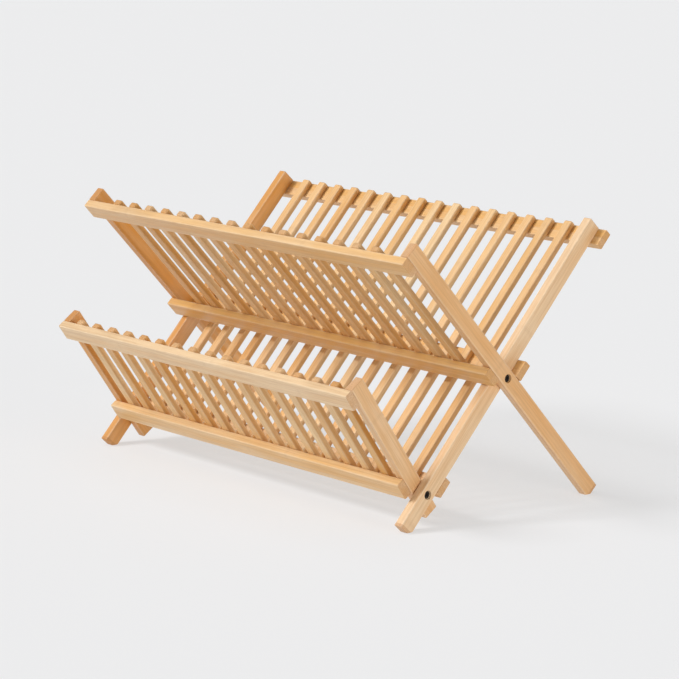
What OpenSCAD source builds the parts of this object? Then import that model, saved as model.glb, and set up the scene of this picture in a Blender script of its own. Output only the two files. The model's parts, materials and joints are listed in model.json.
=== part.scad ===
// Folding two-tier dish rack. Three slatted frames turn on two pairs of screws:
// the main frame leans back, the upper rack crosses it and stands on its own
// legs, and the lower rack leans forward from the main frame's foot.
//
// X runs along the rails, Y towards the back, Z up. The origin is on the floor,
// under the middle of the rack. Each frame is drawn upright in its own place:
// its stiles run along Z, its inner or under side faces +Y, and its pivot is at
// zero height.

/* [Rack] */
// Width over the main frame's stiles
main_w = 440; // [360:1:520]
// Lean of the main frame above the floor, in degrees
main_lean = 47; // [43:0.5:52]
// Lean of the lower rack above the floor, in degrees
lower_lean = 55; // [50:0.5:62]
// Length of the main and upper stiles
stile_len = 340; // [300:1:400]
// Distance between the lower and the upper pivots
pivot_gap = 129; // [105:1:155]
// Reach of the main stiles below the lower pivots
main_foot = 36.5; // [30:0.5:50]
// Reach of the lower rack's stiles below their pivots
lower_tail = 24.5; // [18:0.5:30]

/* [Sticks] */
// Thickness of a stile, across the rack
stile_t = 9; // [7.5:0.1:12]
// Depth of a stile, square to its frame
stile_d = 15.5; // [13:0.1:19]
// Width of the main frame's rails
rail_w = 17.5; // [14:0.1:22]
// Thickness of the main frame's rails
rail_t = 7.6; // [6:0.1:10]
// Width of the two racks' bars
bar_w = 17.5; // [14:0.1:22]
// Thickness of the two racks' bars
bar_t = 8.4; // [7:0.1:10]
// Width taken off every edge
ease = 0.6; // [0.3:0.1:1]
// Height of the corner sawn off each foot
foot_trim = 1.6; // [1:0.1:3]

/* [Slats] */
// Number of slats in each frame
slat_count = 16; // [8:2:20]
// Width of a slat
slat_w = 9.4; // [7:0.1:12]
// Thickness of a slat
slat_t = 6; // [4.5:0.1:6.4]
// Space between a main stile and the first slat
side_space = 21; // [18:0.5:30]

/* [Pivots] */
// Diameter of a pivot screw's shank
screw_d = 4; // [3:0.1:5]
// Diameter of its head
head_d = 7.2; // [6:0.1:8.5]
// Height of its head
head_h = 2.4; // [1.8:0.1:3]
// Depth of the hole that the head sits in
sink_depth = 4; // [3:0.1:5]
// Space around the head
head_space = 0.4; // [0.2:0.05:0.8]
// Running clearance around the shank, on the radius
run_clear = 0.07; // [0.02:0.01:0.1]
// Depth of thread in the inner stile
bite = 7; // [5:0.1:7.4]
// Gap between the upper rack's stiles and the main stiles
upper_side_gap = 0.3; // [0.2:0.05:1]
// Gap between the lower rack's stiles and the main stiles
lower_side_gap = 0.9; // [0.3:0.05:1.5]
// Gap left where two frames stop against each other
stop_gap = 0.3; // [0.2:0.05:0.6]
// Gap left under a screw's head, so that the joint stays free
head_gap = 0.15; // [0.05:0.05:0.4]
// Gap between the folded lower rack and the upper rack's bottom bar
fold_gap = 4; // [3:0.5:8]

/* [Brads] */
// Diameter of a brad's shank
brad_d = 1.3; // [1:0.1:1.6]
// Diameter of a brad's head
brad_head_d = 2.2; // [1.8:0.1:2.6]
// Depth that a brad's head is driven below the surface
brad_sink = 0.4; // [0.2:0.1:0.6]
// Length of the brads in the slats
slat_brad = 11; // [9:0.5:11.5]
// Length of the brads between rails and stiles
joint_brad = 20; // [19:0.5:21]
// Spacing of the two brads in each end of a rail
brad_pair = 8; // [5:0.5:10]

/* [Hidden] */
$fn = 48;
half_d = stile_d / 2;
brad_head_h = 0.6;
over = 1; // how far a cutter runs past a face
floor_cut = 1000; // size of the block under the floor

// Half widths to the outer faces of the three frames
main_x = main_w / 2;
upper_x = main_x + upper_side_gap + stile_t;
lower_x = main_x - stile_t - lower_side_gap;

// Heights of the pivots, from feet that stand on the floor
lower_pivot_z = main_foot * sin(main_lean) + half_d * cos(main_lean) - foot_trim;
upper_pivot_z = lower_pivot_z + pivot_gap * sin(main_lean);

// The upper rack's stiles are as long as the main ones, and lean until they reach the floor
upper_leg = pivot_gap + main_foot;
upper_up = stile_len - upper_leg;
upper_reach = norm([upper_leg, half_d]);
upper_lean = asin((upper_pivot_z + foot_trim) / upper_reach) - atan2(half_d, upper_leg);
main_up = stile_len - main_foot;

// Height of a bar or rail above a pivot where it stops against the crossing stile. Its
// outer corner meets the stile first where the two frames stand less than square.
function first_corner(spread, thick) = half_d + (spread < 90 ? thick : 0);
function stop_height(spread, thick) =
    (half_d + stop_gap + first_corner(spread, thick) * cos(spread)) / sin(spread);
upper_stop = stop_height(main_lean + upper_lean, max(rail_t, bar_t));
lower_stop = stop_height(main_lean + lower_lean, max(rail_t, bar_t));
lower_up = pivot_gap + upper_stop - fold_gap;

// Lower edges of the rails and bars, above their own frame's pivot
main_rails = [lower_stop, pivot_gap + upper_stop, main_up - rail_w];
upper_bars = [upper_stop, upper_up - bar_w];
lower_bars = [max(upper_stop, lower_stop), lower_up - bar_w];

// Faces that the brads are driven from
rail_face = half_d + rail_t;
slat_face = slat_t - half_d;

// The rack's depth, which the origin halves
front_y = -lower_up * cos(lower_lean) - (half_d + bar_t) * sin(lower_lean);
back_y = main_up * cos(main_lean) + rail_face * sin(main_lean);
lower_pivot_y = -(front_y + back_y) / 2;
upper_pivot_y = lower_pivot_y + pivot_gap * cos(main_lean);

slat_pitch = (main_w - 2 * (stile_t + side_space) - slat_w) / (slat_count - 1);
function slat_x(i) = (i - (slat_count - 1) / 2) * slat_pitch;
function two_digits(n) = str(n < 10 ? "0" : "", n);
function slat_name(frame, i) = str(frame, "_slat_", two_digits(i + 1));
function pair_name(i) = str("lower_slats_", two_digits(2 * i + 1), "_", two_digits(2 * i + 2));

sides = ["left", "right"];
function side_sign(side) = side == "left" ? -1 : 1;

// ---- Places ----

module on_main() {
    translate([0, lower_pivot_y, lower_pivot_z]) rotate([main_lean - 90, 0, 0]) children();
}

module on_upper() {
    translate([0, upper_pivot_y, upper_pivot_z]) rotate([90 - upper_lean, 0, 0]) children();
}

module on_lower() {
    translate([0, lower_pivot_y, lower_pivot_z]) rotate([90 - lower_lean, 0, 0]) children();
}

// ---- Shapes that repeat ----

// Rectangle with its corners taken off
module eased_rect(a, b) {
    polygon([
        [ease, 0], [a - ease, 0], [a, ease], [a, b - ease],
        [a - ease, b], [ease, b], [0, b - ease], [0, ease]
    ]);
}

// Square-cut stick with every edge eased, its lowest corner at the origin
module stick(x, y, z) {
    intersection() {
        linear_extrude(z) eased_rect(x, y);
        translate([0, y, 0]) rotate([90, 0, 0]) linear_extrude(y) eased_rect(x, z);
        rotate([90, 0, 90]) linear_extrude(x) eased_rect(y, z);
    }
}

// Nail with a small flat head, driven towards -Y from a face at y = 0
module brad(length) {
    translate([0, -brad_sink, 0]) rotate([90, 0, 0]) {
        cylinder(d = brad_d, h = length);
        cylinder(d = brad_head_d, h = brad_head_h);
    }
}

// The hole that a brad makes
module brad_hole(length) {
    brad(length);
    translate([0, over, 0]) rotate([90, 0, 0]) cylinder(d = brad_head_d, h = brad_sink + over);
}

// Places of the two brads that hold one end of a rail with its lower edge at z
module rail_end_places(x, z) {
    for (dz = [-1, 1] * brad_pair / 2) translate([x, 0, z + dz]) children();
}

// Stile of a frame whose outer faces are at x = -outer and outer
module stile(side, outer, from_z, to_z) {
    edge = side == "left" ? -outer : outer - stile_t;
    translate([edge, -half_d, from_z]) stick(stile_t, stile_d, to_z - from_z);
}

// Screw along X that points at the rack's middle, its head's underside at x = 0
module pivot_screw(length) {
    recess_w = head_d / 6;
    recess_l = head_d * 0.58;
    difference() {
        union() {
            rotate([0, 90, 0]) cylinder(d = head_d, h = head_h);
            rotate([0, -90, 0]) cylinder(d = screw_d, h = length - screw_d / 2);
            translate([screw_d / 2 - length, 0, 0]) rotate([0, -90, 0])
                cylinder(d1 = screw_d, d2 = screw_d / 3, h = screw_d / 2);
        }
        for (turn = [0, 90]) rotate([turn, 0, 0])
            translate([head_h / 2, -recess_l / 2, -recess_w / 2]) cube([head_h, recess_l, recess_w]);
    }
}

// Recess and running bore for a screw through an outer stile, from its face at x = 0
module outer_pivot_hole() {
    rotate([0, -90, 0]) cylinder(d = screw_d + 2 * run_clear, h = stile_t + over);
    translate([over, 0, 0]) rotate([0, -90, 0])
        cylinder(d = head_d + 2 * head_space, h = sink_depth + over);
}

// Length of a screw under its head: through its outer stile, across a side gap and into
// the inner stile
function screw_len(gap) = head_gap + stile_t - sink_depth + gap + bite;

// Whatever is given, and its mirror image at the rack's other side
module on_both_sides() {
    children();
    mirror([1, 0, 0]) children();
}

// Screws at both sides, with their heads in stiles whose outer faces are at x = +-outer.
// An inner stile's thread holes are cut with the same screws.
module screw_pair(outer, gap) {
    on_both_sides() translate([outer - sink_depth + head_gap, 0, 0])
        pivot_screw(screw_len(gap));
}

// ---- Main frame ----

module main_stile(side) {
    s = side_sign(side);
    mid_x = s * (main_x - stile_t / 2);
    color("burlywood") difference() {
        on_main() difference() {
            stile(side, main_x, -main_foot, main_up);
            for (z = main_rails) rail_end_places(mid_x, z + rail_w / 2)
                translate([0, rail_face, 0]) brad_hole(joint_brad);
            on_both_sides() translate([main_x, 0, 0]) outer_pivot_hole();
            translate([0, 0, pivot_gap]) screw_pair(upper_x, upper_side_gap);
        }
        translate([-floor_cut / 2, -floor_cut / 2, -floor_cut]) cube(floor_cut);
    }
}

module main_rail(z, half_w) {
    color("tan") on_main() difference() {
        translate([-half_w, half_d, z]) stick(2 * half_w, rail_t, rail_w);
        for (i = [0 : slat_count - 1]) translate([slat_x(i), rail_face, z + rail_w / 2])
            brad_hole(slat_brad);
        for (s = [-1, 1]) rail_end_places(s * (main_x - stile_t / 2), z + rail_w / 2)
            translate([0, rail_face, 0]) brad_hole(joint_brad);
    }
}

module main_slat(i) {
    foot_z = main_rails[0];
    color("wheat") on_main() difference() {
        translate([slat_x(i) - slat_w / 2, half_d - slat_t, foot_z])
            stick(slat_w, slat_t, main_up - foot_z);
        for (z = main_rails) translate([slat_x(i), rail_face, z + rail_w / 2]) brad_hole(slat_brad);
    }
}

module main_brads() {
    color("silver") on_main() for (z = main_rails) {
        for (i = [0 : slat_count - 1]) translate([slat_x(i), rail_face, z + rail_w / 2])
            brad(slat_brad);
        for (s = [-1, 1]) rail_end_places(s * (main_x - stile_t / 2), z + rail_w / 2)
            translate([0, rail_face, 0]) brad(joint_brad);
    }
}

module upper_pivot_screws() {
    color("dimgray") on_main() translate([0, 0, pivot_gap]) screw_pair(upper_x, upper_side_gap);
}

// ---- Racks: a pair of stiles, two bars in front of them and slats behind the bars ----

module rack_stile(side, outer, from_z, to_z, bars) {
    mid_x = side_sign(side) * (outer - stile_t / 2);
    difference() {
        stile(side, outer, from_z, to_z);
        for (z = bars) rail_end_places(mid_x, z + bar_w / 2)
            translate([0, half_d, 0]) brad_hole(joint_brad);
    }
}

module rack_bar(z, outer) {
    difference() {
        translate([-outer, -half_d - bar_t, z]) stick(2 * outer, bar_t, bar_w);
        for (i = [0 : slat_count - 1]) translate([slat_x(i), slat_face, z + bar_w / 2])
            brad_hole(slat_brad);
        for (s = [-1, 1]) rail_end_places(s * (outer - stile_t / 2), z + bar_w / 2)
            translate([0, half_d, 0]) brad_hole(joint_brad);
    }
}

module rack_slat(i, to_z, bars) {
    difference() {
        translate([slat_x(i) - slat_w / 2, -half_d, bars[0]])
            stick(slat_w, slat_t, to_z - bars[0]);
        for (z = bars) translate([slat_x(i), slat_face, z + bar_w / 2]) brad_hole(slat_brad);
    }
}

module rack_brads(outer, bars) {
    for (z = bars) {
        for (i = [0 : slat_count - 1]) translate([slat_x(i), slat_face, z + bar_w / 2])
            brad(slat_brad);
        for (s = [-1, 1]) rail_end_places(s * (outer - stile_t / 2), z + bar_w / 2)
            translate([0, half_d, 0]) brad(joint_brad);
    }
}

// ---- Upper rack ----

module upper_stile(side) {
    color("burlywood") difference() {
        on_upper() difference() {
            rack_stile(side, upper_x, -upper_leg, upper_up, upper_bars);
            on_both_sides() translate([upper_x, 0, 0]) outer_pivot_hole();
        }
        translate([-floor_cut / 2, -floor_cut / 2, -floor_cut]) cube(floor_cut);
    }
}

module upper_bar(z) {
    color("tan") on_upper() rack_bar(z, upper_x);
}

module upper_slat(i) {
    color("wheat") on_upper() rack_slat(i, upper_up, upper_bars);
}

module upper_brads() {
    color("silver") on_upper() rack_brads(upper_x, upper_bars);
}

// ---- Lower rack ----

module lower_stile(side) {
    color("burlywood") on_lower() difference() {
        rack_stile(side, lower_x, -lower_tail, lower_up, lower_bars);
        screw_pair(main_x, lower_side_gap);
    }
}

module lower_bar(z) {
    color("tan") on_lower() rack_bar(z, lower_x);
}

// Two neighbouring slats
module lower_slat_pair(i) {
    color("wheat") on_lower() for (j = [2 * i, 2 * i + 1]) rack_slat(j, lower_up, lower_bars);
}

module lower_brads() {
    color("silver") on_lower() rack_brads(lower_x, lower_bars);
}

module lower_pivot_screws() {
    color("dimgray") on_lower() screw_pair(main_x, lower_side_gap);
}

// ---- Nodes ----

for (side = sides) main_stile(side);
main_rail(main_rails[0], main_x);  // main_rail_bottom
main_rail(main_rails[1], upper_x);  // main_rail_middle
main_rail(main_rails[2], upper_x);  // main_rail_top
for (i = [0 : slat_count - 1]) main_slat(i);
main_brads();
upper_pivot_screws();
for (side = sides) upper_stile(side);
upper_bar(upper_bars[0]);  // upper_bar_bottom
upper_bar(upper_bars[1]);  // upper_bar_top
for (i = [0 : slat_count - 1]) upper_slat(i);
upper_brads();
for (side = sides) lower_stile(side);
lower_bar(lower_bars[0]);  // lower_bar_bottom
lower_bar(lower_bars[1]);  // lower_bar_top
for (i = [0 : slat_count / 2 - 1]) lower_slat_pair(i);
lower_brads();
lower_pivot_screws();
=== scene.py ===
import json
import math
import random

import bmesh
import bpy
from mathutils import Matrix, Vector


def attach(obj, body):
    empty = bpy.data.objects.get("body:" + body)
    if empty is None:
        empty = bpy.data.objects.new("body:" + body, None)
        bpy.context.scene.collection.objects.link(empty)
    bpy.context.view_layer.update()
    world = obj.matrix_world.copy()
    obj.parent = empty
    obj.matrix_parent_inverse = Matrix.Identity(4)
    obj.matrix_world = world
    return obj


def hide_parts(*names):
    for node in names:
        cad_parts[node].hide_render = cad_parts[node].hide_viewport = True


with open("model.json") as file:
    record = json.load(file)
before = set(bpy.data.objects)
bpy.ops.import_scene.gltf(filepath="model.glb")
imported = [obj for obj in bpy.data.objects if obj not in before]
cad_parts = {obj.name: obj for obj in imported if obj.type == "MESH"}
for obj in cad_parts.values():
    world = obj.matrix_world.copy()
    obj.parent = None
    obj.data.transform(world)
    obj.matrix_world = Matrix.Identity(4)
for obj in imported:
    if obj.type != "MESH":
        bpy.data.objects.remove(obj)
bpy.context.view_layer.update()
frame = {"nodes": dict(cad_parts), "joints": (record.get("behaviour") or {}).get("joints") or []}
mm = 0.001
chance = random.Random(23)


# camera

cameraSet = {
    "spot": (1.7866, -1.5643, 0.5946),
    "azimuth": 48.33,    # degrees from +Y, towards -X
    "down": 11.10,
    "roll": 0.395,
    "lens": 134.8,       # mm, on a sensor 36 mm wide
    "sensor": 36.0,
}


def addCamera(size):
    azimuth, down, roll = (math.radians(size[key]) for key in ("azimuth", "down", "roll"))
    forward = Vector((
        -math.sin(azimuth) * math.cos(down),
        math.cos(azimuth) * math.cos(down),
        -math.sin(down),
    ))
    level = forward.cross(Vector((0, 0, 1))).normalized()
    upright = level.cross(forward)
    right = level * math.cos(roll) + upright * math.sin(roll)
    up = upright * math.cos(roll) - level * math.sin(roll)
    data = bpy.data.cameras.new("studioCamera")
    data.lens = size["lens"]
    data.sensor_width = size["sensor"]
    data.clip_end = 60
    camera = bpy.data.objects.new("studioCamera", data)
    turn = Matrix((right, up, -forward)).transposed().to_4x4()
    camera.matrix_world = Matrix.Translation(size["spot"]) @ turn
    bpy.context.scene.collection.objects.link(camera)
    bpy.context.scene.camera = camera


addCamera(cameraSet)
print("camera placed")


# shader helpers

def addNode(tree, kind, values=None, **settings):
    made = tree.nodes.new("ShaderNode" + kind)
    for key, value in settings.items():
        setattr(made, key, value)
    for socket, value in (values or {}).items():
        if isinstance(value, bpy.types.NodeSocket):
            tree.links.new(value, made.inputs[socket])
        else:
            made.inputs[socket].default_value = value
    return made


def calc(tree, operation, *terms, clamp=False):
    made = addNode(tree, "Math", dict(enumerate(terms)), operation=operation, use_clamp=clamp)
    return made.outputs[0]


def vectorCalc(tree, operation, *terms):
    made = addNode(tree, "VectorMath", dict(enumerate(terms)), operation=operation)
    return made.outputs["Vector"]


def fade(tree, value, start, end):
    # 1 at start and beyond it, 0 at end, with a smooth slope between
    made = addNode(
        tree, "MapRange", {"Value": value, "From Min": start, "From Max": end, "To Min": 1.0, "To Max": 0.0},
        interpolation_type="SMOOTHSTEP",
    )
    return made.outputs["Result"]


def noise(tree, vector, scale, detail=2.0, roughness=0.5, distortion=0.0):
    made = addNode(tree, "TexNoise", {
        "Vector": vector, "Scale": scale, "Detail": detail, "Roughness": roughness, "Distortion": distortion,
    })
    return made.outputs[0]


def mixColour(tree, share, first, second, blend="MIX"):
    made = addNode(tree, "Mix", data_type="RGBA", blend_type=blend)
    for socket, value in ((0, share), (6, first), (7, second)):
        if isinstance(value, bpy.types.NodeSocket):
            tree.links.new(value, made.inputs[socket])
        else:
            made.inputs[socket].default_value = value
    return made.outputs[2]


def newGroup(name, inputs, outputs):
    tree = bpy.data.node_groups.new(name, "ShaderNodeTree")
    for label, kind, start in inputs:
        socket = tree.interface.new_socket(label, in_out="INPUT", socket_type="NodeSocket" + kind)
        if start is not None:
            socket.default_value = start
    for label, kind in outputs:
        tree.interface.new_socket(label, in_out="OUTPUT", socket_type="NodeSocket" + kind)
    return tree, tree.nodes.new("NodeGroupInput"), tree.nodes.new("NodeGroupOutput")


def placeGroup(tree, group, values):
    made = tree.nodes.new("ShaderNodeGroup")
    made.node_tree = group
    for socket, value in values.items():
        if isinstance(value, bpy.types.NodeSocket):
            tree.links.new(value, made.inputs[socket])
        else:
            made.inputs[socket].default_value = value
    return made.outputs


# shared effects: each reads a stick's own space, where Z runs along the fibres

def buildFibreGroup():
    tree, given, put = newGroup(
        "bambooFibres",
        [
            ("Place", "Vector", None), ("Tone", "Vector", None),
            ("Strip Width", "Float", 0.006), ("Fibre Stretch", "Float", 0.022),
        ],
        [("Streaks", "Float"), ("Fine", "Float"), ("Drift", "Float"), ("Strip", "Float"), ("Seam", "Float")],
    )
    place, tone = given.outputs["Place"], given.outputs["Tone"]
    offset = vectorCalc(tree, "MULTIPLY", tone, (3.1, 4.7, 7.3))
    seeded = vectorCalc(tree, "ADD", place, offset)

    # a slow wave bends the fibres a little, so that no line is ruler straight
    slow = vectorCalc(tree, "MULTIPLY", seeded, (14.0, 14.0, 9.0))
    sway = addNode(tree, "TexNoise", {"Vector": slow, "Scale": 1.0, "Detail": 1.0})
    swayed = vectorCalc(tree, "MULTIPLY", sway.outputs["Color"], (0.0024, 0.0024, 0.0))
    bent = vectorCalc(tree, "ADD", seeded, swayed)

    stretch = addNode(tree, "CombineXYZ", {"X": 1.0, "Y": 1.0, "Z": given.outputs["Fibre Stretch"]})
    along = vectorCalc(tree, "MULTIPLY", bent, stretch.outputs[0])
    tree.links.new(noise(tree, along, 640.0, 4.0, 0.62), put.inputs["Streaks"])
    tree.links.new(noise(tree, along, 2300.0, 3.0, 0.6), put.inputs["Fine"])
    wide = vectorCalc(tree, "MULTIPLY", seeded, (1.0, 1.0, 0.12))
    tree.links.new(noise(tree, wide, 105.0, 2.0, 0.5), put.inputs["Drift"])

    # glued strips: each has its own tone, with a thin seam between two of them
    parts = addNode(tree, "SeparateXYZ", {"Vector": bent})
    count = calc(tree, "DIVIDE", parts.outputs[0], given.outputs["Strip Width"])
    strip = addNode(tree, "TexWhiteNoise", {"W": calc(tree, "FLOOR", count)}, noise_dimensions="1D")
    tree.links.new(strip.outputs["Value"], put.inputs["Strip"])
    inside = calc(tree, "FRACT", count)
    fromSeam = calc(tree, "MINIMUM", inside, calc(tree, "SUBTRACT", 1.0, inside))
    tree.links.new(fade(tree, fromSeam, 0.008, 0.03), put.inputs["Seam"])
    return tree


def buildRingGroup():
    # the rings of the cane, which every strip carries at its own height
    tree, given, put = newGroup(
        "bambooRings",
        [
            ("Place", "Vector", None), ("Tone", "Vector", None), ("Strip", "Float", 0.0),
            ("Spacing", "Float", 0.23), ("Width", "Float", 0.0036),
        ],
        [("Ring", "Float"), ("Glow", "Float")],
    )
    parts = addNode(tree, "SeparateXYZ", {"Vector": given.outputs["Place"]})
    tones = addNode(tree, "SeparateXYZ", {"Vector": given.outputs["Tone"]})
    wobble = noise(tree, given.outputs["Place"], 260.0, 2.0)
    wobbled = calc(tree, "MULTIPLY_ADD", wobble, 0.0034, parts.outputs[2])
    start = calc(tree, "ADD", tones.outputs[1], given.outputs["Strip"])
    turns = calc(tree, "ADD", calc(tree, "DIVIDE", wobbled, given.outputs["Spacing"]), start)
    inside = calc(tree, "FRACT", turns)
    away = calc(tree, "ABSOLUTE", calc(tree, "SUBTRACT", inside, 0.5))
    distance = calc(tree, "MULTIPLY", away, given.outputs["Spacing"])
    width = given.outputs["Width"]
    ring = addNode(tree, "MapRange", {
        "Value": distance, "From Min": 0.0, "From Max": width, "To Min": 1.0, "To Max": 0.0,
    }, interpolation_type="SMOOTHSTEP")
    tree.links.new(ring.outputs["Result"], put.inputs["Ring"])
    glow = addNode(tree, "MapRange", {
        "Value": distance, "From Min": width, "From Max": calc(tree, "MULTIPLY", width, 6.0),
        "To Min": 1.0, "To Max": 0.0,
    }, interpolation_type="SMOOTHSTEP")
    tree.links.new(glow.outputs["Result"], put.inputs["Glow"])
    return tree


def buildEdgeGroup():
    # how near a point is to the stick's long edges and to its sawn ends
    tree, given, put = newGroup(
        "stickEdges",
        [("Place", "Vector", None), ("Half", "Vector", None), ("Reach", "Float", 0.0016)],
        [("Edge", "Float"), ("End", "Float"), ("Pores", "Float")],
    )
    place = given.outputs["Place"]
    gap = vectorCalc(tree, "SUBTRACT", given.outputs["Half"], vectorCalc(tree, "ABSOLUTE", place))
    parts = addNode(tree, "SeparateXYZ", {"Vector": gap})
    across = calc(tree, "MAXIMUM", parts.outputs[0], parts.outputs[1])
    patches = noise(tree, place, 190.0, 3.0)
    reach = calc(tree, "MULTIPLY", given.outputs["Reach"], calc(tree, "MULTIPLY_ADD", patches, 1.6, 0.3))
    edge = addNode(tree, "MapRange", {
        "Value": across, "From Min": 0.0, "From Max": reach, "To Min": 1.0, "To Max": 0.0,
    }, interpolation_type="SMOOTHSTEP")
    tree.links.new(edge.outputs["Result"], put.inputs["Edge"])
    tree.links.new(fade(tree, parts.outputs[2], 0.00025, 0.0009), put.inputs["End"])
    flat = vectorCalc(tree, "MULTIPLY", place, (1.0, 1.0, 0.05))
    bundles = addNode(tree, "TexVoronoi", {"Vector": flat, "Scale": 1150.0}, feature="F1")
    tree.links.new(fade(tree, bundles.outputs["Distance"], 0.18, 0.42), put.inputs["Pores"])
    return tree


fibreGroup = buildFibreGroup()
ringGroup = buildRingGroup()
edgeGroup = buildEdgeGroup()


# materials

bambooFinishes = {
    "stileBamboo": {
        "pale": (0.855, 0.625, 0.385, 1), "deep": (0.71, 0.305, 0.045, 1), "blush": (0.82, 0.46, 0.19, 1),
        "strip": 0.0052, "stripShare": 0.5, "spacing": 0.21, "rough": 0.46,
    },
    "railBamboo": {
        "pale": (0.87, 0.655, 0.41, 1), "deep": (0.80, 0.44, 0.12, 1), "blush": (0.83, 0.48, 0.19, 1),
        "strip": 0.0061, "stripShare": 0.55, "spacing": 0.26, "rough": 0.44,
    },
    "slatBamboo": {
        "pale": (0.89, 0.645, 0.35, 1), "deep": (0.75, 0.385, 0.085, 1), "blush": (0.82, 0.45, 0.155, 1),
        "strip": 0.0100, "stripShare": 0.25, "spacing": 0.24, "rough": 0.48,
    },
}
bambooDetail = {                # shares say how strongly an effect shows
    "fibreDark": (0.52, 0.26, 0.085, 1),
    "ringDark": (0.40, 0.205, 0.085, 1),
    "endDark": (0.47, 0.215, 0.090, 1),
    # edgeLight pales the ring halos, and the edges, where it is partly sanding wear and partly a painted
    # highlight standing in for the shine along them
    "edgeLight": (0.92, 0.77, 0.56, 1),
    "glueLine": (0.46, 0.27, 0.12, 1),
    "blushShare": 0.7,
    "driftShare": 1.1,
    "streakShare": 0.31,
    "fineShare": 0.25,
    "seamShare": 0.22,
    "glowShare": 0.10,
    "ringShare": 0.10,
    "edgeWearAndHighlightShare": 0.30,
    "endShare": 0.40,
    "poreShare": 0.34,
    "coat": 0.22,
    "coatRough": 0.32,
    "bump": 0.42,
    "bumpDepth": 0.00016,
}


def readAttribute(tree, name):
    return addNode(tree, "Attribute", attribute_name=name).outputs["Vector"]


def newMaterial(name):
    material = bpy.data.materials.new(name)
    material.use_nodes = True
    tree = material.node_tree
    return material, tree, tree.nodes["Principled BSDF"]


def makeBamboo(name, finish, detail):
    material, tree, shader = newMaterial(name)
    place, half, tone = (readAttribute(tree, key) for key in ("stickPlace", "stickHalf", "stickTone"))
    tones = addNode(tree, "SeparateXYZ", {"Vector": tone})
    fibres = placeGroup(tree, fibreGroup, {"Place": place, "Tone": tone, "Strip Width": finish["strip"]})
    rings = placeGroup(tree, ringGroup, {
        "Place": place, "Tone": tone, "Strip": fibres["Strip"], "Spacing": finish["spacing"],
    })
    edges = placeGroup(tree, edgeGroup, {"Place": place, "Half": half})

    # body colour: every stick has its own tone, every strip in it strays a little, and it drifts along
    stray = calc(tree, "MULTIPLY_ADD", fibres["Strip"], finish["stripShare"], tones.outputs[0])
    shade = calc(tree, "SUBTRACT", stray, finish["stripShare"] / 2)
    drift = calc(tree, "MULTIPLY_ADD", fibres["Drift"], detail["driftShare"], -detail["driftShare"] / 2)
    drifted = calc(tree, "ADD", shade, drift, clamp=True)
    body = mixColour(tree, drifted, finish["pale"], finish["deep"])
    blush = calc(tree, "MULTIPLY", tones.outputs[2], detail["blushShare"])
    body = mixColour(tree, blush, body, finish["blush"])

    # fibres, seams and rings, then the edges paled: partly sanding wear, partly a painted highlight along
    # them
    for mask, share, colour in (
        (fade(tree, fibres["Streaks"], 0.34, 0.60), "streakShare", "fibreDark"),
        (fade(tree, fibres["Fine"], 0.30, 0.52), "fineShare", "fibreDark"),
        (fibres["Seam"], "seamShare", "glueLine"),
        (rings["Glow"], "glowShare", "edgeLight"),
        (rings["Ring"], "ringShare", "ringDark"),
        (edges["Edge"], "edgeWearAndHighlightShare", "edgeLight"),
    ):
        body = mixColour(tree, calc(tree, "MULTIPLY", mask, detail[share]), body, detail[colour])

    # sawn ends show the dark bundles of the cane
    pores = calc(tree, "MULTIPLY_ADD", edges["Pores"], detail["poreShare"], detail["endShare"])
    body = mixColour(tree, calc(tree, "MULTIPLY", edges["End"], pores), body, detail["endDark"])
    tree.links.new(body, shader.inputs["Base Color"])

    rough = calc(tree, "MULTIPLY_ADD", fibres["Fine"], 0.16, finish["rough"] - 0.08)
    rough = calc(tree, "MULTIPLY_ADD", edges["End"], 0.22, rough)
    rough = calc(tree, "MULTIPLY_ADD", edges["Edge"], -0.06, rough)
    tree.links.new(rough, shader.inputs["Roughness"])
    shader.inputs["Coat Weight"].default_value = detail["coat"]
    shader.inputs["Coat Roughness"].default_value = detail["coatRough"]

    relief = calc(tree, "MULTIPLY_ADD", fibres["Streaks"], 0.6, calc(tree, "MULTIPLY", fibres["Fine"], 0.4))
    relief = calc(tree, "MULTIPLY_ADD", fibres["Seam"], -0.35, relief)
    relief = calc(tree, "MULTIPLY_ADD", calc(tree, "MULTIPLY", edges["End"], edges["Pores"]), -0.9, relief)
    relief = calc(tree, "MULTIPLY_ADD", rings["Ring"], -0.12, relief)
    bump = addNode(tree, "Bump", {
        "Strength": detail["bump"], "Distance": detail["bumpDepth"], "Height": relief,
    })
    tree.links.new(bump.outputs[0], shader.inputs["Normal"])
    return material


steelFinishes = {
    "bradSteel": {
        "base": (0.50, 0.46, 0.41, 1), "dull": (0.23, 0.19, 0.15, 1),
        "metallic": 0.95, "rough": 0.36, "shine": 0.5,
    },
    "screwBlack": {
        "base": (0.014, 0.011, 0.009, 1), "dull": (0.050, 0.030, 0.018, 1),
        "metallic": 0.2, "rough": 0.5, "shine": 0.2,
    },
}


def buildWearGroup():
    tree, given, put = newGroup(
        "steelWear", [("Scale", "Float", 900.0)], [("Dull", "Float"), ("Scratch", "Float")],
    )
    coordinates = addNode(tree, "TexCoord").outputs["Object"]
    patches = noise(tree, coordinates, given.outputs["Scale"], 3.0, 0.6)
    tree.links.new(fade(tree, patches, 0.36, 0.62), put.inputs["Dull"])
    stretched = vectorCalc(tree, "MULTIPLY", coordinates, (1.0, 9.0, 9.0))
    tree.links.new(noise(tree, stretched, 620.0, 2.0), put.inputs["Scratch"])
    return tree


wearGroup = buildWearGroup()


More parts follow.
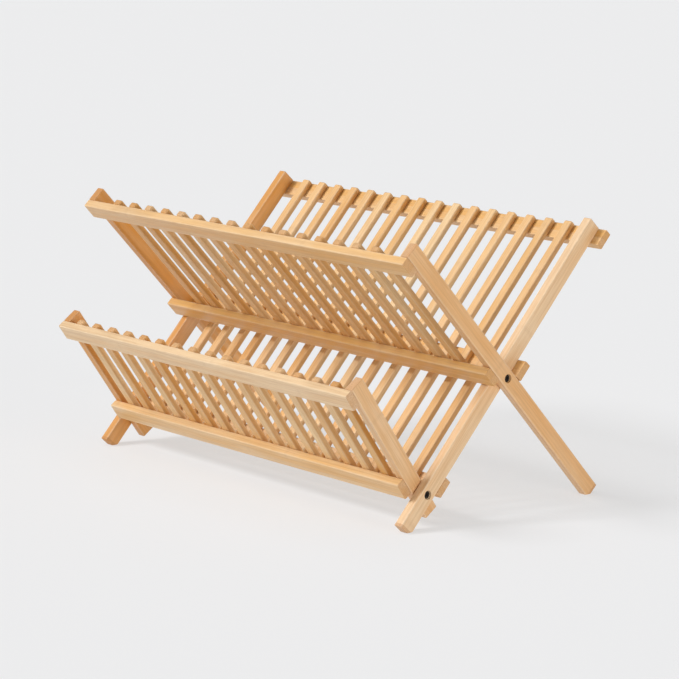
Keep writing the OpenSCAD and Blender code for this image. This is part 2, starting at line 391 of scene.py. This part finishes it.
def makeSteel(name, finish):
    material, tree, shader = newMaterial(name)
    wear = placeGroup(tree, wearGroup, {})
    colour = mixColour(tree, calc(tree, "MULTIPLY", wear["Dull"], 0.6), finish["base"], finish["dull"])
    tree.links.new(colour, shader.inputs["Base Color"])
    rough = calc(tree, "MULTIPLY_ADD", wear["Dull"], 0.2, finish["rough"] - 0.05)
    tree.links.new(rough, shader.inputs["Roughness"])
    shader.inputs["Metallic"].default_value = finish["metallic"]
    shader.inputs["Specular IOR Level"].default_value = finish["shine"]
    bump = addNode(tree, "Bump", {"Strength": 0.25, "Distance": 0.00005, "Height": wear["Scratch"]})
    tree.links.new(bump.outputs[0], shader.inputs["Normal"])
    return material


materials = {name: makeBamboo(name, finish, bambooDetail) for name, finish in bambooFinishes.items()}
materials.update({name: makeSteel(name, finish) for name, finish in steelFinishes.items()})
print("materials made")


# the three frames: each is modelled upright around its pivot, then leaned into place

leans = {"main_frame": 47.0, "upper_rack": 47.0, "lower_rack": 55.0}    # degrees above the floor
pivots = {joint["child"]: Vector(joint["pos_m"]) for joint in frame["joints"]}
frameMatrices = {
    "main_frame": Matrix.Translation(pivots["lower_rack"])
    @ Matrix.Rotation(math.radians(leans["main_frame"] - 90), 4, "X"),
    "upper_rack": Matrix.Translation(pivots["upper_rack"])
    @ Matrix.Rotation(math.radians(90 - leans["upper_rack"]), 4, "X"),
    "lower_rack": Matrix.Translation(pivots["lower_rack"])
    @ Matrix.Rotation(math.radians(90 - leans["lower_rack"]), 4, "X"),
}
pivotGap = (pivots["upper_rack"] - pivots["lower_rack"]).length


def uprightBoxes(node, body, count=1):
    # the boxes of a node's sticks, side by side along X, in its frame's upright space
    back = frameMatrices[body].inverted()
    points = [back @ vertex.co for vertex in frame["nodes"][node].data.vertices]
    left = min(point.x for point in points)
    width = max(point.x for point in points) - left
    boxes = []
    for index in range(count):
        inside = [p for p in points if index * width <= (p.x - left) * count <= (index + 1) * width]
        low = Vector([min(p[axis] for p in inside) for axis in range(3)])
        high = Vector([max(p[axis] for p in inside) for axis in range(3)])
        boxes.append((low, high))
    return boxes


# modelling helpers

def startClean():
    if bpy.context.object is not None and bpy.context.object.mode != "OBJECT":
        bpy.ops.object.mode_set(mode="OBJECT")
    bpy.ops.object.select_all(action="DESELECT")


def makeActive(*pieces):
    startClean()
    for piece in pieces:
        piece.select_set(True)
    bpy.context.view_layer.objects.active = pieces[0]


def applyPlace(piece):
    makeActive(piece)
    bpy.ops.object.transform_apply(location=True, rotation=True, scale=True)


def selectParts(piece, kind, test):
    # selects the edges or faces of the piece in edit mode that pass the test
    mesh = bmesh.from_edit_mesh(piece.data)
    for part in [*mesh.verts, *mesh.edges, *mesh.faces]:
        part.select_set(False)
    for part in getattr(mesh, kind):
        if test(part):
            part.select_set(True)
    mesh.select_flush_mode()
    bmesh.update_edit_mesh(piece.data)


def applyModifier(piece, kind, **settings):
    makeActive(piece)
    modifier = piece.modifiers.new(kind.lower(), kind)
    for key, value in settings.items():
        setattr(modifier, key, value)
    bpy.ops.object.modifier_apply(modifier=modifier.name)


stickShape = {
    "rims": 0.35 * mm,          # rounding of a recess's rim
    "roundSteps": 3,
    "endSteps": 2,
    "footRun": 2.5 * mm,
    "footEdge": 0.25 * mm,      # rounding of a foot's sawn face
}


def addStick(name, low, high, along, rounding, endRounding):
    # one squared stick with its long edges rounded over and its ends softened
    startClean()
    bpy.ops.mesh.primitive_cube_add(size=1, location=(low + high) / 2, scale=high - low)
    stick = bpy.context.object
    stick.name = name
    applyPlace(stick)
    bpy.ops.object.mode_set(mode="EDIT")
    bpy.ops.mesh.select_mode(type="EDGE")

    def runsAlong(edge):
        first, second = edge.verts[0].co, edge.verts[1].co
        return abs(first[along] - second[along]) > (high - low)[along] / 2

    selectParts(stick, "edges", runsAlong)
    bpy.ops.mesh.bevel(offset=rounding, segments=stickShape["roundSteps"], affect="EDGES")

    def atEnd(edge):
        places = [vertex.co[along] for vertex in edge.verts]
        return max(places) - min(places) < 1e-6

    selectParts(stick, "edges", atEnd)
    bpy.ops.mesh.bevel(offset=endRounding, segments=stickShape["endSteps"], affect="EDGES")
    bpy.ops.object.mode_set(mode="OBJECT")
    return stick


def addDrill(radius, start, end, sides=48):
    # a plain cylinder between two points, to cut with
    direction = end - start
    turn = direction.to_track_quat("Z", "Y").to_euler()
    startClean()
    bpy.ops.mesh.primitive_cylinder_add(
        radius=radius, depth=direction.length, vertices=sides, location=(start + end) / 2, rotation=turn,
    )
    drill = bpy.context.object
    applyPlace(drill)
    return drill


def cutWith(piece, drills):
    # drills that don't touch each other are joined and cut in one go
    makeActive(*drills)
    if len(drills) > 1:
        bpy.ops.object.join()
    tool = bpy.context.object
    applyModifier(piece, "BOOLEAN", operation="DIFFERENCE", object=tool, solver="EXACT")
    bpy.data.objects.remove(tool)


def copyOf(piece, name, shift):
    makeActive(piece)
    bpy.ops.object.duplicate(linked=False)
    copy = bpy.context.object
    copy.name = name
    bpy.ops.transform.translate(value=shift)
    applyPlace(copy)
    return copy


chosenTones = {                 # (depth of the colour, where the rings begin, share of blush)
    # the left stiles take the full deep colour partly as painted shade: it stands in for the shade and
    # bounced orange light on their inner faces, in among the slats
    "mainStileLeft": (1.0, 0.31, 0.0),
    "mainStileRight": (0.05, 0.62, 0.3),
    "upperStileLeft": (1.0, 0.12, 0.0),
    "upperStileRight": (0.42, 0.55, 0.6),
    "lowerStileLeft": (1.0, 0.83, 0.0),
    "lowerStileRight": (0.25, 0.41, 0.4),
    "mainRailTop": (0.95, 0.22, 0.1),
    "mainRailMiddle": (0.95, 0.71, 0.2),
    "mainRailBottom": (0.45, 0.93, 0.4),
    "upperBarTop": (0.40, 0.37, 0.3),
    "upperBarBottom": (0.95, 0.66, 0.2),
    "lowerBarTop": (0.05, 0.15, 0.3),
    "lowerBarBottom": (0.40, 0.52, 0.1),
}


def markStick(piece, body, low, high, along):
    # stores each point's place in the stick's own space, for the grain to follow
    order = {0: (2, 1, 0), 2: (0, 1, 2)}[along]
    back = frameMatrices[body].inverted()
    middle, half = (low + high) / 2, (high - low) / 2
    drawn = (chance.random(), chance.random(), chance.random())
    tone = chosenTones.get(piece.name, drawn)
    values = {"stickPlace": [], "stickHalf": [], "stickTone": []}
    for vertex in piece.data.vertices:
        offset = back @ vertex.co - middle
        values["stickPlace"].extend(offset[axis] for axis in order)
        values["stickHalf"].extend(half[axis] for axis in order)
        values["stickTone"].extend(tone)
    for key, numbers in values.items():
        attribute = piece.data.attributes.new(key, "FLOAT_VECTOR", "POINT")
        attribute.data.foreach_set("vector", numbers)


def finishPiece(piece, body, material, nodes):
    makeActive(piece)
    piece.data.materials.clear()
    piece.data.materials.append(material)
    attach(piece, body)
    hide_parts(*nodes)


def smoothStick(piece):
    makeActive(piece)
    bpy.ops.object.shade_smooth()
    applyModifier(piece, "WEIGHTED_NORMAL", weight=90, keep_sharp=True)


def trimFoot(piece):
    # saws off what is below the floor, and takes the sharpness off the cut
    makeActive(piece)
    bpy.ops.object.mode_set(mode="EDIT")
    bpy.ops.mesh.select_all(action="SELECT")
    bpy.ops.mesh.bisect(plane_co=(0, 0, 0), plane_no=(0, 0, 1), use_fill=True, clear_inner=True)

    def isSawn(face):
        return face.normal.z < -0.99 and abs(face.calc_center_median().z) < 1e-5

    selectParts(piece, "faces", isSawn)
    bpy.ops.mesh.bevel(offset=stickShape["footEdge"], segments=2, affect="EDGES")
    bpy.ops.object.mode_set(mode="OBJECT")


def roundRims(piece, body, centres, radius):
    # softens the rims of round recesses in faces square to X
    makeActive(piece)
    bpy.ops.object.mode_set(mode="EDIT")
    bpy.ops.mesh.select_mode(type="EDGE")

    def onRim(edge):
        for centre in centres:
            spots = [vertex.co - centre for vertex in edge.verts]
            level = all(abs(spot.x) < 1e-5 for spot in spots)
            if level and all(abs(math.hypot(spot.y, spot.z) - radius) < 1e-5 for spot in spots):
                return True
        return False

    selectParts(piece, "edges", onRim)
    bpy.ops.mesh.bevel(offset=stickShape["rims"], segments=2, affect="EDGES")
    bpy.ops.object.mode_set(mode="OBJECT")


# brads and screws

bradShape = {
    "shank": 0.65 * mm,         # radii
    "head": 1.1 * mm,
    "pocket": 1.14 * mm,
    "headHeight": 0.6 * mm,
    "sunk": 0.4 * mm,
    "slatLength": 11 * mm,
    "jointLength": 20 * mm,
    "pairGap": 8 * mm,          # between the two brads at a joint
}


def addBrad(name, length):
    # its head faces up and is sunk below the origin, and its shank runs down
    startClean()
    bpy.ops.mesh.primitive_cylinder_add(
        radius=bradShape["head"], depth=bradShape["headHeight"], vertices=16,
        location=(0, 0, -bradShape["sunk"] - bradShape["headHeight"] / 2),
    )
    brad = bpy.context.object
    brad.name = name
    applyPlace(brad)
    bpy.ops.object.mode_set(mode="EDIT")
    bpy.ops.mesh.select_mode(type="FACE")
    selectParts(brad, "faces", lambda face: face.normal.z > 0.9)
    bpy.ops.mesh.bevel(offset=0.16 * mm, segments=2, affect="EDGES")
    selectParts(brad, "faces", lambda face: face.normal.z < -0.9)
    bpy.ops.mesh.inset(thickness=bradShape["head"] - bradShape["shank"])
    down = bradShape["sunk"] + bradShape["headHeight"] - length
    bpy.ops.mesh.extrude_region_move(TRANSFORM_OT_translate={"value": (0, 0, down)})
    bpy.ops.mesh.extrude_region_move(TRANSFORM_OT_translate={"value": (0, 0, -bradShape["sunk"])})
    bpy.ops.transform.resize(value=(0.3, 0.3, 1), center_override=(0, 0, -length))
    bpy.ops.object.mode_set(mode="OBJECT")
    return brad


screwShape = {
    "shank": 2.0 * mm,          # radii
    "head": 3.6 * mm,
    "headHeight": 2.4 * mm,
    "recess": 4.0 * mm,         # the hole around the head, and its depth
    "recessDepth": 4.0 * mm,
    "bore": 2.07 * mm,
    "boreDepth": 12 * mm,       # past the far side of a stile
    "headGap": 0.15 * mm,
    "bite": 7.0 * mm,
    "crossWidth": 1.1 * mm,
    "crossLength": 4.2 * mm,
    "crossDepth": 1.3 * mm,
    "ridges": 5,
}


def addScrew(name, outer, inner, pivotZ):
    # a screw along X at the right-hand side: its head is in the outer stile, its tip in the inner one
    seat = outer[1].x - screwShape["recessDepth"] + screwShape["headGap"]
    tip = inner[1].x - screwShape["bite"]
    shape = screwShape
    startClean()
    bpy.ops.mesh.primitive_cylinder_add(
        radius=shape["head"], depth=shape["headHeight"], vertices=40,
        location=(seat + shape["headHeight"] / 2, 0, pivotZ), rotation=(0, math.radians(90), 0),
    )
    screw = bpy.context.object
    screw.name = name
    applyPlace(screw)
    centre = Vector((seat, 0, pivotZ))
    bpy.ops.object.mode_set(mode="EDIT")
    bpy.ops.mesh.select_mode(type="FACE")
    selectParts(screw, "faces", lambda face: face.normal.x > 0.9)
    bpy.ops.mesh.bevel(offset=1.15 * mm, segments=5, affect="EDGES")
    selectParts(screw, "faces", lambda face: face.normal.x < -0.9)
    bpy.ops.mesh.inset(thickness=shape["head"] - shape["shank"])

    # shank: plain through the outer stile, then ridges, then a point
    plain = seat - inner[1].x
    bpy.ops.mesh.extrude_region_move(TRANSFORM_OT_translate={"value": (-plain, 0, 0)})
    step = (inner[1].x - tip - shape["shank"]) / shape["ridges"]
    for ridge in range(shape["ridges"]):
        for share, scale in ((0.5, 0.8), (0.5, 1 / 0.8)):
            bpy.ops.mesh.extrude_region_move(TRANSFORM_OT_translate={"value": (-step * share, 0, 0)})
            bpy.ops.transform.resize(value=(1, scale, scale), center_override=centre)
    bpy.ops.mesh.extrude_region_move(TRANSFORM_OT_translate={"value": (-shape["shank"], 0, 0)})
    bpy.ops.transform.resize(value=(1, 0.3, 0.3), center_override=centre)
    bpy.ops.object.mode_set(mode="OBJECT")

    # cross recess in the head
    top = seat + shape["headHeight"]
    for size in ((shape["crossWidth"], shape["crossLength"]), (shape["crossLength"], shape["crossWidth"])):
        startClean()
        bpy.ops.mesh.primitive_cube_add(
            size=1, location=(top, 0, pivotZ), scale=(2 * shape["crossDepth"], size[0], size[1]),
        )
        cutter = bpy.context.object
        applyPlace(cutter)
        bpy.ops.object.mode_set(mode="EDIT")
        bpy.ops.mesh.select_mode(type="FACE")
        selectParts(cutter, "faces", lambda face: face.normal.x < -0.9)
        bpy.ops.transform.resize(value=(1, 0.7, 0.7), center_override=(top, 0, pivotZ))
        bpy.ops.object.mode_set(mode="OBJECT")
        cutWith(screw, [cutter])
    makeActive(screw)
    bpy.ops.object.shade_smooth_by_angle(angle=math.radians(32))
    return screw


def mirrored(piece, name):
    # the same piece at the other side, with its faces still pointing outwards
    makeActive(piece)
    bpy.ops.object.duplicate(linked=False)
    copy = bpy.context.object
    copy.name = name
    copy.matrix_world = Matrix.Scale(-1, 4, (1, 0, 0))
    applyPlace(copy)
    bpy.ops.object.mode_set(mode="EDIT")
    bpy.ops.mesh.select_all(action="SELECT")
    bpy.ops.mesh.normals_make_consistent(inside=False)
    bpy.ops.object.mode_set(mode="OBJECT")
    return copy


# what each frame is made of

slatTotal = sum(1 for name in frame["nodes"] if name.startswith("main_slat_"))
frameParts = {
    "main_frame": {
        "word": "main", "cross": "rail", "crossNames": ("bottom", "middle", "top"), "slatsPerNode": 1,
        "nailFrom": "cross",    # its brads go through the rails into the slats
    },
    "upper_rack": {
        "word": "upper", "cross": "bar", "crossNames": ("bottom", "top"), "slatsPerNode": 1,
        "nailFrom": "slat",     # its brads go through the slats into the bars
    },
    "lower_rack": {
        "word": "lower", "cross": "bar", "crossNames": ("bottom", "top"), "slatsPerNode": 2,
        "nailFrom": "slat",
    },
}
rounding = {"stile": 0.9 * mm, "cross": 1.1 * mm, "slat": 1.3 * mm}
endRounding = {"stile": 0.7 * mm, "cross": 0.8 * mm, "slat": 1.3 * mm}


def slatBoxes(word, perNode, body):
    # every slat's node and upright box, from left to right
    found = []
    for first in range(1, slatTotal + 1, perNode):
        if perNode == 1:
            node = f"{word}_slat_{first:02d}"
        else:
            node = f"{word}_slats_{first:02d}_{first + 1:02d}"
        found.extend((node, box) for box in uprightBoxes(node, body, perNode))
    return found


upright = {}
for body, parts in frameParts.items():
    word = parts["word"]
    upright[body] = {
        "stiles": {side: uprightBoxes(f"{word}_stile_{side}", body)[0] for side in ("left", "right")},
        "crosses": {
            name: uprightBoxes(f"{word}_{parts['cross']}_{name}", body)[0] for name in parts["crossNames"]
        },
        "slats": slatBoxes(word, parts["slatsPerNode"], body),
    }
print("frames measured")


def nailSpots(body):
    # the heads of all brads of a frame, in its upright space: (point, direction of the head, length)
    found = []
    boxes = upright[body]
    fromCross = frameParts[body]["nailFrom"] == "cross"
    for low, high in boxes["crosses"].values():
        z = (low.z + high.z) / 2
        for node, (slatLow, slatHigh) in boxes["slats"]:
            face = high.y if fromCross else slatHigh.y
            found.append((Vector(((slatLow.x + slatHigh.x) / 2, face, z)), bradShape["slatLength"]))
        for stileLow, stileHigh in boxes["stiles"].values():
            face = high.y if fromCross else stileHigh.y
            for side in (-1, 1):
                spot = Vector(((stileLow.x + stileHigh.x) / 2, face, z + side * bradShape["pairGap"] / 2))
                found.append((spot, bradShape["jointLength"]))
    return found


def pocketDrills(spots, low, high):
    # cutters for the brads that are driven through this stick's own face
    drills = []
    for spot, length in spots:
        inFace = abs(spot.y - high.y) < 1e-5 and low.x < spot.x < high.x and low.z < spot.z < high.z
        if inFace:
            start = spot + Vector((0, 1 * mm, 0))
            end = spot - Vector((0, bradShape["sunk"] + 0.05 * mm, 0))
            drills.append(addDrill(bradShape["pocket"], start, end, 16))
    return drills


def capital(word):
    return word[0].upper() + word[1:]


def leanInto(piece, body):
    piece.matrix_world = frameMatrices[body]
    applyPlace(piece)


def stileHoles(body):
    # (kind, height) of a stile's screw holes: an outer stile holds the head, an inner one the tip
    return {
        "main_frame": [("outer", 0.0), ("inner", pivotGap)],
        "upper_rack": [("outer", 0.0)],
        "lower_rack": [("inner", 0.0)],
    }[body]


def makeStile(body, side):
    parts = frameParts[body]
    low, high = upright[body]["stiles"][side]
    # the box of a stile with a trimmed foot is a little short, so it is run on below the floor
    run = 0.0 if body == "lower_rack" else stickShape["footRun"]
    stick = addStick(
        f"{parts['word']}Stile{capital(side)}", low - Vector((0, 0, run)), high, 2, rounding["stile"],
        endRounding["stile"],
    )
    way = -1 if side == "left" else 1
    outerX = low.x if side == "left" else high.x
    rims = []
    for kind, z in stileHoles(body):
        face = Vector((outerX, 0, z))
        out = Vector((way, 0, 0))
        start = face + out * mm
        if kind == "outer":
            seat = face - out * screwShape["recessDepth"]
            through = face - out * screwShape["boreDepth"]
            cutWith(stick, [addDrill(screwShape["recess"], start, seat)])
            cutWith(stick, [addDrill(screwShape["bore"], start, through, 32)])
            rims.append(face)
        else:
            cutWith(stick, [addDrill(screwShape["shank"], start, face - out * screwShape["bite"], 32)])
    if rims:
        roundRims(stick, body, rims, screwShape["recess"])
    drills = pocketDrills(nailSpots(body), low, high)
    if drills:
        cutWith(stick, drills)
    leanInto(stick, body)
    if run:
        trimFoot(stick)
    markStick(stick, body, low, high, 2)
    smoothStick(stick)
    finishPiece(stick, body, materials["stileBamboo"], [f"{parts['word']}_stile_{side}"])


def makeCross(body, name):
    parts = frameParts[body]
    low, high = upright[body]["crosses"][name]
    title = f"{parts['word']}{capital(parts['cross'])}{capital(name)}"
    stick = addStick(title, low, high, 0, rounding["cross"], endRounding["cross"])
    if parts["nailFrom"] == "cross":
        cutWith(stick, pocketDrills(nailSpots(body), low, high))
    leanInto(stick, body)
    markStick(stick, body, low, high, 0)
    smoothStick(stick)
    node = f"{parts['word']}_{parts['cross']}_{name}"
    finishPiece(stick, body, materials["railBamboo"], [node])


def makeSlats(body):
    # one slat is modelled, and the others are copies of it
    parts = frameParts[body]
    slats = upright[body]["slats"]
    firstLow, firstHigh = slats[0][1]
    pattern = addStick("slatPattern", firstLow, firstHigh, 2, rounding["slat"], endRounding["slat"])
    if parts["nailFrom"] == "slat":
        cutWith(pattern, pocketDrills(nailSpots(body), firstLow, firstHigh))
    for number, (node, (low, high)) in enumerate(slats, 1):
        slat = copyOf(pattern, f"{parts['word']}Slat{number:02d}", (low.x - firstLow.x, 0, 0))
        leanInto(slat, body)
        markStick(slat, body, low, high, 2)
        smoothStick(slat)
        finishPiece(slat, body, materials["slatBamboo"], [node])
    bpy.data.objects.remove(pattern)


def makeBrads(body):
    word = frameParts[body]["word"]
    made = []
    patterns = {}
    for length in (bradShape["slatLength"], bradShape["jointLength"]):
        patterns[length] = addBrad("bradPattern", length)
    for spot, length in nailSpots(body):
        makeActive(patterns[length])
        bpy.ops.object.duplicate(linked=False)
        brad = bpy.context.object
        brad.matrix_world = Matrix.Translation(spot) @ Matrix.Rotation(math.radians(-90), 4, "X")
        applyPlace(brad)
        made.append(brad)
    makeActive(*made)
    bpy.ops.object.join()
    brads = bpy.context.object
    brads.name = f"{word}Brads"
    bpy.ops.object.shade_smooth_by_angle(angle=math.radians(35))
    leanInto(brads, body)
    finishPiece(brads, body, materials["bradSteel"], [f"{word}_brads"])
    for pattern in patterns.values():
        bpy.data.objects.remove(pattern)


def makeScrews(body, name, outer, inner, pivotZ, node):
    right = addScrew(name, outer, inner, pivotZ)
    left = mirrored(right, name + "Left")
    makeActive(right, left)
    bpy.ops.object.join()
    leanInto(right, body)
    finishPiece(right, body, materials["screwBlack"], [node])


for body, parts in frameParts.items():
    for side in ("left", "right"):
        makeStile(body, side)
    for name in parts["crossNames"]:
        makeCross(body, name)
    makeSlats(body)
    makeBrads(body)
    print(parts["word"], "sticks and brads made")

makeScrews(
    "main_frame", "upperPivotScrews", upright["upper_rack"]["stiles"]["right"],
    upright["main_frame"]["stiles"]["right"], pivotGap, "upper_pivot_screws",
)
makeScrews(
    "lower_rack", "lowerPivotScrews", upright["main_frame"]["stiles"]["right"],
    upright["lower_rack"]["stiles"]["right"], 0.0, "lower_pivot_screws",
)
print("screws made")


# studio

studio = {
    "floorSide": 60.0,
    "floorColour": (0.302, 0.304, 0.312, 1),
    "floorGlow": 0.55,         # the floor shines by itself too, which keeps the shadows pale
    "skyColour": (1.0, 1.0, 1.0, 1),
    "skyStrength": 0.24,
    "suns": {                   # name: (strength, spread in degrees, where it shines from)
        "studioKey": (2.2, 18.0, (-0.55, -0.8, 0.85)),
        "studioTop": (0.66, 70.0, (-0.15, -0.25, 1.0)),
        "studioSide": (1.2, 20.0, (1.0, 0.0, 0.12)),
    },
}


def makeStudio(size):
    startClean()
    bpy.ops.mesh.primitive_plane_add(size=size["floorSide"], location=(0, 0, 0))
    floor = bpy.context.object
    floor.name = "studioFloor"
    material, tree, shader = newMaterial("studioFloor")
    shader.inputs["Base Color"].default_value = size["floorColour"]
    shader.inputs["Roughness"].default_value = 0.85
    shader.inputs["Specular IOR Level"].default_value = 0.1
    shader.inputs["Emission Color"].default_value = (1, 1, 1, 1)
    shader.inputs["Emission Strength"].default_value = size["floorGlow"]
    floor.data.materials.append(material)

    world = bpy.data.worlds.new("studioWorld")
    bpy.context.scene.world = world
    world.use_nodes = True
    background = world.node_tree.nodes["Background"]
    background.inputs["Color"].default_value = size["skyColour"]
    background.inputs["Strength"].default_value = size["skyStrength"]

    for name, (strength, spread, spot) in size["suns"].items():
        sun = bpy.data.lights.new(name, "SUN")
        sun.energy = strength
        sun.angle = math.radians(spread)
        sunObject = bpy.data.objects.new(name, sun)
        bpy.context.scene.collection.objects.link(sunObject)
        sunObject.rotation_euler = (-Vector(spot)).to_track_quat("-Z", "Y").to_euler()
    bpy.context.scene.view_settings.view_transform = "Standard"


makeStudio(studio)
print("studio set")
